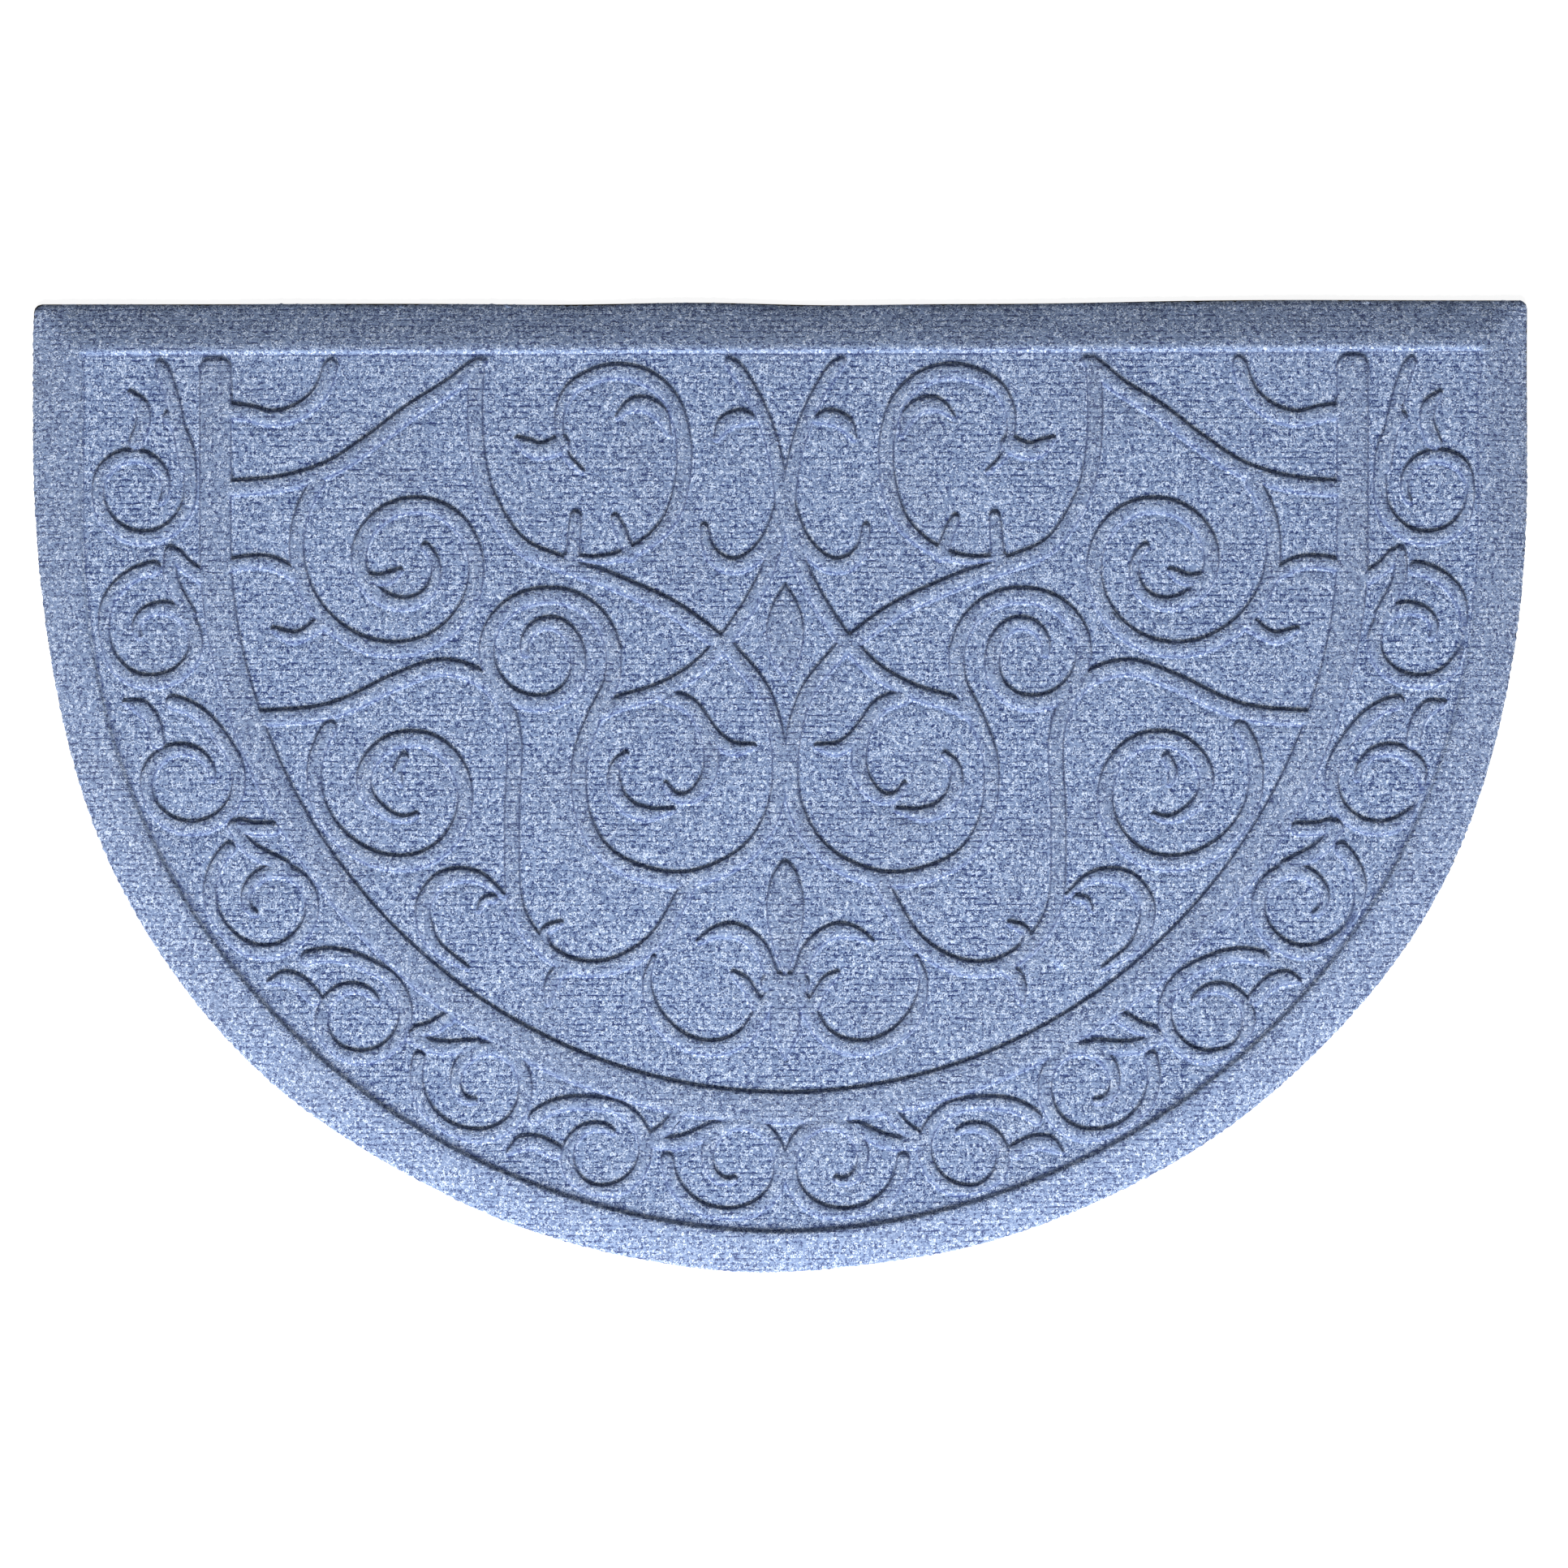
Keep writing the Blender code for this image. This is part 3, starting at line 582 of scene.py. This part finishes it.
def lip_reach(points):
    """How far the rubber stands out past the carpet: along the straight edge and the right side."""
    over_top = points[:, 1] - MAT_DEPTH / 2
    over_right = points[:, 0] - MAT_WIDTH / 2
    top = smooth_step((over_top + LIP_TOP_START) / LIP_TOP_RUN)
    right = smooth_step((over_right + LIP_RIGHT_START) / LIP_RIGHT_RUN)
    right = right * smooth_step((over_top + LIP_RIGHT_LENGTH) / LIP_RIGHT_FADE)
    return np.maximum(LIP_TOP * top, LIP_RIGHT * right) * (LIP_EVEN + unrest(points, LIP_UNREST))


def carpet_sheet(outline, bands):
    """The carpet's upper face as a fine grid cut to the outline: points and quads."""
    xs = np.arange(-MAT_WIDTH / 2 - GRID_MARGIN, MAT_WIDTH / 2 + GRID_MARGIN + GRID, GRID)
    ys = np.arange(-MAT_DEPTH / 2 - GRID_MARGIN, MAT_DEPTH / 2 + GRID_MARGIN + GRID, GRID)
    edge = grid_field(outline, xs, ys)
    rim = grid_field(closed_line(RIM_LINE), xs, ys)
    slope_y, slope_x = np.gradient(edge, GRID)
    mesh_x, mesh_y = np.meshgrid(xs, ys)
    keep = edge > EDGE_CELL * GRID
    cells = keep[:-1, :-1] & keep[1:, :-1] & keep[:-1, 1:] & keep[1:, 1:]
    around = np.zeros(keep.shape, int)
    for rows in (slice(0, -1), slice(1, None)):
        for columns in (slice(0, -1), slice(1, None)):
            around[rows, columns] += cells
    used = around > 0
    border = used & (around < 4)
    index = np.full(keep.shape, -1)
    index[used] = np.arange(used.sum())
    points = np.column_stack([mesh_x[used], mesh_y[used]])
    inward = unit_rows(np.column_stack([slope_x[used], slope_y[used]]))
    edge_depth = edge[used]
    rim_depth = rim[used]
    on_edge = border[used]
    reach = edge_depth + unrest(points, EDGE_FRAY)
    points[on_edge] -= (inward * reach[:, None])[on_edge]
    edge_depth = np.where(on_edge, 0.0, edge_depth)
    heights = carpet_height(points, edge_depth, rim_depth, bands)
    row, column = np.nonzero(cells)
    quads = np.stack([index[row, column], index[row, column + 1],
                      index[row + 1, column + 1], index[row + 1, column]], axis=1)
    return np.column_stack([points, heights]), quads


def fill_mesh(name, points, faces):
    """A mesh from points in mm and faces that all have the same number of corners."""
    mesh = bpy.data.meshes.new(name)
    corners = faces.shape[1]
    mesh.vertices.add(len(points))
    mesh.vertices.foreach_set("co", (points * MM).astype(np.float32).ravel())
    mesh.loops.add(faces.size)
    mesh.loops.foreach_set("vertex_index", faces.astype(np.int32).ravel())
    mesh.polygons.add(len(faces))
    mesh.polygons.foreach_set("loop_start", np.arange(len(faces), dtype=np.int32) * corners)
    mesh.update(calc_edges=True)
    mesh.validate()
    return mesh


def put_in_scene(name, mesh, material, smooth=True):
    """An object for a mesh, with its material, linked to the scene."""
    mesh.materials.append(material)
    if smooth:
        mesh.shade_smooth()
    piece = bpy.data.objects.new(name, mesh)
    bpy.context.scene.collection.objects.link(piece)
    return piece


def thinned(mesh, triangles):
    """The mesh with flat places made of fewer, larger triangles: points in mm and triangles."""
    piece = bpy.data.objects.new("thinning", mesh)
    bpy.context.scene.collection.objects.link(piece)
    thin = piece.modifiers.new("thin", "DECIMATE")
    thin.ratio = triangles / (2.0 * len(mesh.polygons))
    evaluated = piece.evaluated_get(bpy.context.evaluated_depsgraph_get())
    result = evaluated.to_mesh()
    result.calc_loop_triangles()
    points = np.empty(len(result.vertices) * 3, np.float32)
    result.vertices.foreach_get("co", points)
    corners = np.empty(len(result.loop_triangles) * 3, np.int32)
    result.loop_triangles.foreach_get("vertices", corners)
    evaluated.to_mesh_clear()
    bpy.data.objects.remove(piece, do_unlink=True)
    return points.reshape(-1, 3).astype(float) / MM, corners.reshape(-1, 3)


def open_rim(triangles):
    """The closed line of corners round a sheet of triangles, in the triangles' own direction."""
    edges = np.vstack([triangles[:, [0, 1]], triangles[:, [1, 2]], triangles[:, [2, 0]]])
    known = set(map(tuple, edges.tolist()))
    following = {a: b for a, b in known if (b, a) not in known}
    first = next(iter(following))
    loop = [first]
    while following[loop[-1]] != first:
        loop.append(following[loop[-1]])
    return np.array(loop)


def line_radius(loop, angles):
    """How far a closed line lies from the mat's middle at each angle."""
    own = np.arctan2(loop[:, 1], loop[:, 0])
    order = np.argsort(own)
    radii = np.hypot(loop[:, 0], loop[:, 1])
    return np.interp(angles, own[order], radii[order], period=2.0 * math.pi)


def inner_rings(ring, steps):
    """Rings inside a ring, each at a share of the rim's width and a height."""
    angles = np.arctan2(ring[:, 1], ring[:, 0])
    radii = np.hypot(ring[:, 0], ring[:, 1])
    inward = line_radius(closed_line(RIM_LINE), angles) - line_radius(closed_line(OUTLINE), angles)
    rings = []
    for share, height in steps:
        reach = radii + inward * share
        rings.append(np.column_stack([reach * np.cos(angles), reach * np.sin(angles),
                                      np.full(len(ring), height)]))
    return rings


def join_rings(first, rings, total):
    """Triangles from a ring of vertex numbers through further rings, numbered on from total."""
    faces = []
    above = first
    for _ in rings:
        below = np.arange(total, total + len(first))
        after_above = np.roll(above, -1)
        after_below = np.roll(below, -1)
        faces.append(np.stack([above, below, after_below], axis=1))
        faces.append(np.stack([above, after_below, after_above], axis=1))
        above = below
        total += len(first)
    return faces, above, total


def close_below(points, triangles, wall, steps):
    """Close a sheet: a side wall through rings of (outward, height), then an underside."""
    loop = open_rim(triangles)
    ring = points[loop]
    outward = right_of(ring)
    rings = []
    for reach, height in wall:
        heights = np.full(len(ring), height)
        rings.append(np.column_stack([ring[:, :2] + outward * reach, heights]))
    rings += inner_rings(rings[-1], steps)
    faces, last, total = join_rings(loop, rings, len(points))
    middle = np.array([[0.0, 0.0, rings[-1][0, 2]]])
    faces.append(np.stack([last, np.full(len(last), total), np.roll(last, -1)], axis=1))
    return np.vstack([points] + rings + [middle]), np.vstack([triangles] + faces)


def build_carpet(material):
    """The carpet face: relief, frayed cut edge, side wall and underside."""
    outline = closed_line(OUTLINE)
    inset = inset_line(outline, lip_reach(outline) + CARPET_INSET)
    bands = all_bands()
    points, quads = carpet_sheet(inset, bands)
    points, triangles = thinned(fill_mesh("carpet_grid", points, quads), CARPET_TRIANGLES)
    low = RUBBER_LIP + GAP
    wall = [(reach, low + height) for reach, height in CARPET_WALL]
    steps = [(share, height + GAP) for share, height in RUBBER_STEPS]
    points, triangles = close_below(points, triangles, wall, steps)
    mesh = fill_mesh("carpet", points, triangles)
    raised = mesh.attributes.new("raised", "FLOAT", "POINT")
    raised.data.foreach_set("value", mesh_lift(mesh, bands).astype(np.float32))
    return put_in_scene("carpet_pile", mesh, material)


def mesh_lift(mesh, bands):
    """How far each vertex counts as raised, on a band or on the rim, for the material. Where it is
    half raised, on the bands' flanks and at the rim's foot, the material paints crease shade.
    """
    flat = np.empty(len(mesh.vertices) * 3, np.float32)
    mesh.vertices.foreach_get("co", flat)
    points = flat.reshape(-1, 3)[:, :2].astype(float) / MM
    away, inside = line_distance(points, closed_line(RIM_LINE))
    rim_depth = np.where(inside, away, -away)
    depth = soft_minimum(band_depth(points, bands), rim_depth - MOAT, MOAT_ROUNDING)
    on_band = smooth_step(depth / BAND_MARK_WIDTH + BAND_MARK)
    # The rim's mark changes just inside its foot, so the painted crease shade falls at the rim's
    # foot
    on_rim = smooth_step(RIM_MARK - rim_depth / RIM_MARK_WIDTH)
    return np.maximum(on_band, on_rim)


def build_rubber(material):
    """The rubber backing: flat below, a thin lip that shows along the straight edge."""
    outline = closed_line(OUTLINE)[::-2]
    lip = np.column_stack([outline, np.full(len(outline), RUBBER_LIP)])
    top = inner_rings(lip, RUBBER_STEPS)
    first = np.arange(len(lip))
    faces, last, total = join_rings(first, top, len(lip))
    middle = np.array([[0.0, 0.0, RUBBER_FLOOR]])
    faces.append(np.stack([last, np.full(len(last), total), np.roll(last, -1)], axis=1))
    points = np.vstack([lip] + top + [middle])
    faces = np.vstack(faces)[:, ::-1]
    points, faces = close_below(points, faces, RUBBER_WALL, ())
    mesh = fill_mesh("rubber", points, faces)
    piece = put_in_scene("rubber_mat", mesh, material)
    mesh.set_sharp_from_angle(angle=math.radians(SHARP_ANGLE))
    return piece


def new_material(name, roughness):
    """A Principled material: its node tree and its shader."""
    material = bpy.data.materials.new(name)
    material.use_nodes = True
    tree = material.node_tree
    shader = tree.nodes["Principled BSDF"]
    shader.inputs["Roughness"].default_value = roughness
    return material, tree, shader


def add_node(tree, kind, settings=None, **inputs):
    """A node with settings and with inputs given as numbers or as links from other sockets."""
    node = tree.nodes.new(kind)
    for key, value in (settings or {}).items():
        setattr(node, key, value)
    for key, value in inputs.items():
        socket = node.inputs[int(key[2:])] if key.startswith("in") else node.inputs[key]
        if isinstance(value, bpy.types.NodeSocket):
            tree.links.new(value, socket)
        else:
            socket.default_value = value
    return node


def maths(tree, operation, first, second=0.0, third=0.0, clamp=False):
    """The result of a Math node."""
    node = add_node(tree, "ShaderNodeMath", {"operation": operation, "use_clamp": clamp},
                    in0=first, in1=second, in2=third)
    return node.outputs[0]


def span(tree, value, low, high, to_low=0.0, to_high=1.0):
    """A value's place between low and high, eased at both ends."""
    node = add_node(tree, "ShaderNodeMapRange", {"interpolation_type": "SMOOTHSTEP"},
                    in0=value, in1=low, in2=high, in3=to_low, in4=to_high)
    return node.outputs[0]


def blended(tree, share, first, second):
    """A mix of two colours by a share."""
    node = add_node(tree, "ShaderNodeMix", {"data_type": "RGBA"},
                    in0=share, in6=first, in7=second)
    return node.outputs[2]


def noise(tree, place, scale, detail, roughness=0.5):
    """A noise texture's value and colour."""
    node = add_node(tree, "ShaderNodeTexNoise", {"noise_dimensions": "3D"}, Vector=place,
                    Scale=scale, Detail=detail, Roughness=roughness)
    return node.outputs[0], node.outputs[1]


def stretched(tree, place, scales):
    """Positions scaled by three numbers."""
    node = add_node(tree, "ShaderNodeVectorMath", {"operation": "MULTIPLY"}, in0=place, in1=scales)
    return node.outputs[0]


def shifted(tree, place, colour, amount):
    """Positions pushed about by a noise colour, up to half the amount each way."""
    centred = add_node(tree, "ShaderNodeVectorMath", {"operation": "SUBTRACT"},
                       in0=colour, in1=(0.5, 0.5, 0.5)).outputs[0]
    pushed = stretched(tree, centred, (amount, amount, amount))
    return add_node(tree, "ShaderNodeVectorMath", {"operation": "ADD"},
                    in0=place, in1=pushed).outputs[0]


def millimetres(tree):
    """The object's own coordinates in mm."""
    place = tree.nodes.new("ShaderNodeTexCoord").outputs["Object"]
    return stretched(tree, place, (1000.0, 1000.0, 1000.0))


def curls(tree, place, kind):
    """Broken little rings, one to a cell: 1 on a curl and 0 off it."""
    moved = add_node(tree, "ShaderNodeVectorMath", {"operation": "ADD"},
                     in0=place, in1=(kind.offset, kind.seed, 0.0)).outputs[0]
    _, drift = noise(tree, moved, 0.45, 1.0)
    bent = shifted(tree, moved, drift, 1.6)
    scaled = stretched(tree, bent, (1.0 / kind.cell[0], 1.0 / kind.cell[1], 0.3))
    away = add_node(tree, "ShaderNodeTexVoronoi", {"feature": "F1"}, Vector=scaled, Scale=1.0,
                    Randomness=0.75).outputs["Distance"]
    from_ring = maths(tree, "ABSOLUTE", maths(tree, "SUBTRACT", away, kind.ring))
    line = span(tree, from_ring, 0.0, kind.width, 1.0, 0.0)
    gaps, _ = noise(tree, moved, 0.42, 1.0, 0.5)
    unbroken = span(tree, gaps, kind.breaks, kind.breaks + 0.10)
    return maths(tree, "MULTIPLY", line, unbroken)


def carpet_material():
    """Needle-punched heather fibre: curled light and dark strands, set in punched rows, with painted
    shade in the creases on the bands' flanks and at the rim's foot.
    """
    material, tree, shader = new_material("heather_blue_fibre", 0.92)
    place = millimetres(tree)
    raised = add_node(tree, "ShaderNodeAttribute", {"attribute_name": "raised"}).outputs["Fac"]

    grain, _ = noise(tree, place, 0.85, 2.0, 0.7)
    clumps, _ = noise(tree, stretched(tree, place, (0.8, 1.2, 1.0)), 0.30, 2.0, 0.6)

    _, row_drift = noise(tree, stretched(tree, place, (0.35, 1.0, 1.0)), 0.25, 1.0)
    y = add_node(tree, "ShaderNodeSeparateXYZ", in0=shifted(tree, place, row_drift, 2.0)).outputs[1]
    row = maths(tree, "PINGPONG", maths(tree, "DIVIDE", y, ROW_PITCH), 0.5)
    row = span(tree, row, 0.26, 0.5)
    dashes, _ = noise(tree, stretched(tree, place, (0.25, 0.9, 0.9)), 1.0, 2.0, 0.55)
    dash = span(tree, dashes, 0.47, 0.62)
    patches, _ = noise(tree, place, 0.022, 2.0, 0.5)
    row_weight = span(tree, patches, 0.35, 0.65, 0.22, 0.70)
    row_gap = maths(tree, "MULTIPLY", maths(tree, "MULTIPLY", row, dash), row_weight)
    # Peaks where the raised mark is half done, on the bands' flanks and at the rim's foot: the mask
    # of the painted crease shade
    flank = maths(tree, "PINGPONG", raised, 0.5)

    tone = maths(tree, "MULTIPLY_ADD", grain, GRAIN_WEIGHT, -GRAIN_WEIGHT / 2)
    tone = maths(tree, "MULTIPLY_ADD", clumps, CLUMP_WEIGHT, tone)
    tone = maths(tree, "ADD", tone, TONE_START)
    for kind in (DARK_CURLS, DARK_SMALL, LIGHT_CURLS, LIGHT_SMALL):
        tone = maths(tree, "MULTIPLY_ADD", curls(tree, place, kind), kind.weight, tone)
    tone = maths(tree, "SUBTRACT", tone, row_gap, clamp=True)

    lower = blended(tree, span(tree, tone, 0.0, 0.52), DARK_FIBRE_AND_SHADE, FIBRE_MIDDLE)
    colour = blended(tree, span(tree, tone, 0.45, 1.0), lower, FIBRE_LIGHT)
    slow, _ = noise(tree, place, 0.018, 3.0, 0.6)
    slow_grey = maths(tree, "MULTIPLY_ADD", raised, 0.12, span(tree, slow, 0.45, 0.75, 0.0, 0.12))
    colour = blended(tree, slow_grey, colour, FIBRE_GREY)
    # Painted shade: the creases on the flanks and at the rim's foot are blended towards the dark
    # fibre colour
    colour = blended(tree, span(tree, flank, 0.12, 0.42, 0.0, FLANK_PAINTED_SHADE), colour, DARK_FIBRE_AND_SHADE)
    tree.links.new(colour, shader.inputs["Base Color"])
    shader.inputs["Sheen Weight"].default_value = 0.12
    shader.inputs["Sheen Roughness"].default_value = 0.6
    shader.inputs["Specular IOR Level"].default_value = 0.15

    relief = maths(tree, "MULTIPLY_ADD", tone, 0.6, maths(tree, "MULTIPLY", clumps, 0.5))
    bump = add_node(tree, "ShaderNodeBump", Height=relief, Strength=0.6, Distance=0.0008)
    tree.links.new(bump.outputs[0], shader.inputs["Normal"])
    return material


def rubber_material():
    """Black moulded rubber with a faint brown cast and a fine pebbled skin."""
    material, tree, shader = new_material("moulded_black_rubber", 0.68)
    place = millimetres(tree)
    pebbles, _ = noise(tree, place, 0.7, 2.0, 0.5)
    scuffs, _ = noise(tree, place, 0.03, 3.0, 0.6)
    colour = blended(tree, span(tree, scuffs, 0.35, 0.75), RUBBER_DARK, RUBBER_WORN)
    tree.links.new(colour, shader.inputs["Base Color"])
    bump = add_node(tree, "ShaderNodeBump", Height=pebbles, Strength=0.4, Distance=0.0004)
    tree.links.new(bump.outputs[0], shader.inputs["Normal"])
    return material


def floor_material():
    """A matte floor that glows a little, so that it looks white."""
    material, _, shader = new_material("pale_floor", 0.9)
    shader.inputs["Base Color"].default_value = FLOOR_TONE
    shader.inputs["Specular IOR Level"].default_value = 0.0
    shader.inputs["Emission Color"].default_value = WHITE
    shader.inputs["Emission Strength"].default_value = FLOOR_GLOW
    return material


def build_floor():
    """The pale floor under the mat."""
    half = FLOOR_HALF
    height = -FLOOR_DROP
    corners = np.array([(-half, -half, height), (half, -half, height),
                        (half, half, height), (-half, half, height)]) / MM
    mesh = fill_mesh("floor", corners, np.array([[0, 1, 2, 3]]))
    floor = put_in_scene("studio_floor", mesh, floor_material(), smooth=False)


def build_camera():
    """A camera straight above the mat, framed as the photograph."""
    data = bpy.data.cameras.new("camera")
    data.sensor_width = SENSOR_WIDTH
    data.sensor_fit = "HORIZONTAL"
    data.lens = SENSOR_WIDTH * CAMERA_HEIGHT / FRAME_WIDTH
    camera = bpy.data.objects.new("camera", data)
    camera.location = (*CAMERA_PLACE, CAMERA_HEIGHT + BASIN_TOP * MM)
    bpy.context.scene.collection.objects.link(camera)
    bpy.context.scene.camera = camera


def build_lights():
    """Soft light from the round side, and an even pale surround."""
    data = bpy.data.lights.new("key", "AREA")
    data.shape = "SQUARE"
    data.size = KEY_SIZE
    data.energy = KEY_POWER
    key = bpy.data.objects.new("key", data)
    key.location = KEY_PLACE
    key.rotation_euler = (-Vector(KEY_PLACE)).to_track_quat("-Z", "Y").to_euler()
    bpy.context.scene.collection.objects.link(key)
    world = bpy.data.worlds.new("studio")
    world.use_nodes = True
    back = world.node_tree.nodes["Background"]
    back.inputs["Color"].default_value = WHITE
    back.inputs["Strength"].default_value = WORLD_LIGHT
    bpy.context.scene.world = world
    bpy.context.scene.view_settings.view_transform = "Standard"


def main():
    """Dress the mat and set the studio round it."""
    build_camera()
    build_lights()
    build_floor()
    carpet = build_carpet(carpet_material())
    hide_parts("carpet_face")
    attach(carpet, "root")
    rubber = build_rubber(rubber_material())
    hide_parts("rubber_backing")
    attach(rubber, "root")


main()
